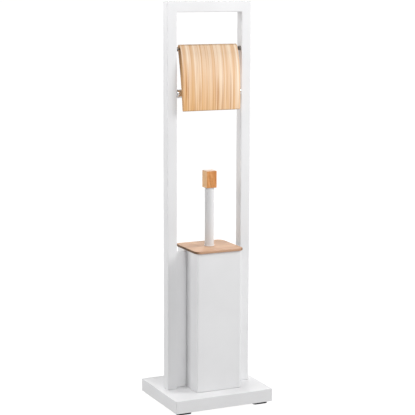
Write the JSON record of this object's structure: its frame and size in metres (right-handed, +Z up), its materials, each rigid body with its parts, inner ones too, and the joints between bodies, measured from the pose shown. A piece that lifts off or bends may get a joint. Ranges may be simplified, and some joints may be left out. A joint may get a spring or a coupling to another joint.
{
  "type": "toilet brush holder",
  "caption": "Free-standing bathroom stand: weighted base, square-tube frame, sprung roll spindle under a hinged wooden flap, and a square canister holding a wood-lidded toilet brush",
  "frame": {"origin": "on the floor, under the middle of the base", "axes": "+Z up along the uprights, +X towards the object's right as seen from the front, -Y towards the front, where the flap bulges"},
  "size_m": [0.2026, 0.168, 0.7645],
  "materials": {
    "white_steel": "satin white powder coat",
    "bamboo": "clear satin lacquer on light bamboo",
    "amber_bamboo": "clear satin lacquer on amber bamboo",
    "chrome": "polished plate",
    "steel": "zinc plated",
    "rubber": "matte",
    "white_plastic": "moulded satin",
    "grey_plastic": "moulded matte",
    "fibreboard": "raw",
    "bristle_nylon": "drawn filament"
  },
  "bodies": {
    "stand": {"base_plate": "white_steel", "base_board": "fibreboard", "foot_front_left": "rubber", "foot_front_right": "rubber", "foot_rear_left": "rubber", "foot_rear_right": "rubber", "left_upright": "white_steel", "right_upright": "white_steel", "top_bar": "white_steel", "left_tube_insert": "grey_plastic", "right_tube_insert": "grey_plastic", "left_upright_screw": "steel", "right_upright_screw": "steel", "left_side_panel": "white_steel", "right_side_panel": "white_steel", "canister": "white_steel", "canister_screw_front": "steel", "canister_screw_rear": "steel", "canister_nut_front": "steel", "canister_nut_rear": "steel", "drip_cup": "grey_plastic", "left_flap_boss": "steel", "right_flap_boss": "steel", "left_flap_pin": "steel", "right_flap_pin": "steel"},
    "brush": {"lid": "bamboo", "handle_collar": "white_plastic", "handle_tube": "white_steel", "handle_insert": "grey_plastic", "knob": "amber_bamboo", "knob_dowel": "grey_plastic", "brush_shaft": "white_plastic", "brush_core": "white_plastic", "brush_bristles": "bristle_nylon"},
    "spindle_outer": {"spindle_outer_tube": "chrome", "spindle_left_plug": "chrome"},
    "spindle_inner": {"spindle_inner_tube": "chrome", "spindle_right_plug": "chrome", "spindle_spring": "steel"},
    "flap": {"roll_flap": "bamboo"}
  },
  "joints": [
    {"name": "brush_lift", "type": "slide", "parent": "stand", "child": "brush", "axis": [0, 0, 1], "range_m": [0, 0.11]},
    {"name": "flap_hinge", "type": "hinge", "parent": "stand", "child": "flap", "pos_m": [0, -0.0036, 0.677], "axis": [-1, 0, 0], "range_deg": [0, 140]},
    {"name": "spindle_spin", "type": "hinge", "parent": "stand", "child": "spindle_outer", "pos_m": [0, -0.003, 0.595], "axis": [1, 0, 0], "continuous": true},
    {"name": "spindle_compress", "type": "slide", "parent": "spindle_outer", "child": "spindle_inner", "axis": [-1, 0, 0], "range_m": [0, 0.012], "stiffness_N_per_m": 600, "springref_m": -0.015, "deforming": ["spindle_spring"]}
  ]
}
